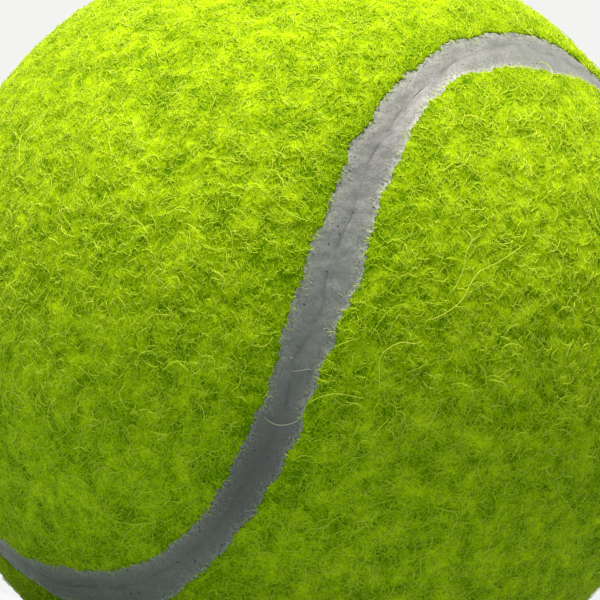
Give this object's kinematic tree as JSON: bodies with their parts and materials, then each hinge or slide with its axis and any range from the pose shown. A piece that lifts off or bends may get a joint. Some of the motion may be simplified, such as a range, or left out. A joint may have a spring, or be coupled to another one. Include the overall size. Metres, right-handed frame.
{
  "type": "tennis ball",
  "caption": "Hollow rubber play ball under two interlocking dog-bone panels of yellow-green felt, joined by one endless grey rubber seam.",
  "frame": {"origin": "centre of the ball", "axes": "+Z is the axis that the seam winds round: the neck of one felt panel crosses +Z and the neck of the other crosses -Z, and the seam runs straight along Z where it crosses the X and Y axes"},
  "size_m": [0.0668, 0.0668, 0.067],
  "materials": {
    "felt": "napped wool and nylon felt",
    "seam_rubber": "matt, mottled and slightly ragged at its edges",
    "cement": "dull dried rubber solution",
    "core_rubber": "matt, buffed"
  },
  "bodies": {
    "root": {"felt_panel_upper": "felt", "felt_panel_lower": "felt", "seam_edge_upper": "seam_rubber", "seam_edge_lower": "seam_rubber", "core_cement_coat": "cement", "core_half_upper": "core_rubber", "core_half_lower": "core_rubber", "core_joint_cement": "cement"}
  },
  "joints": []
}
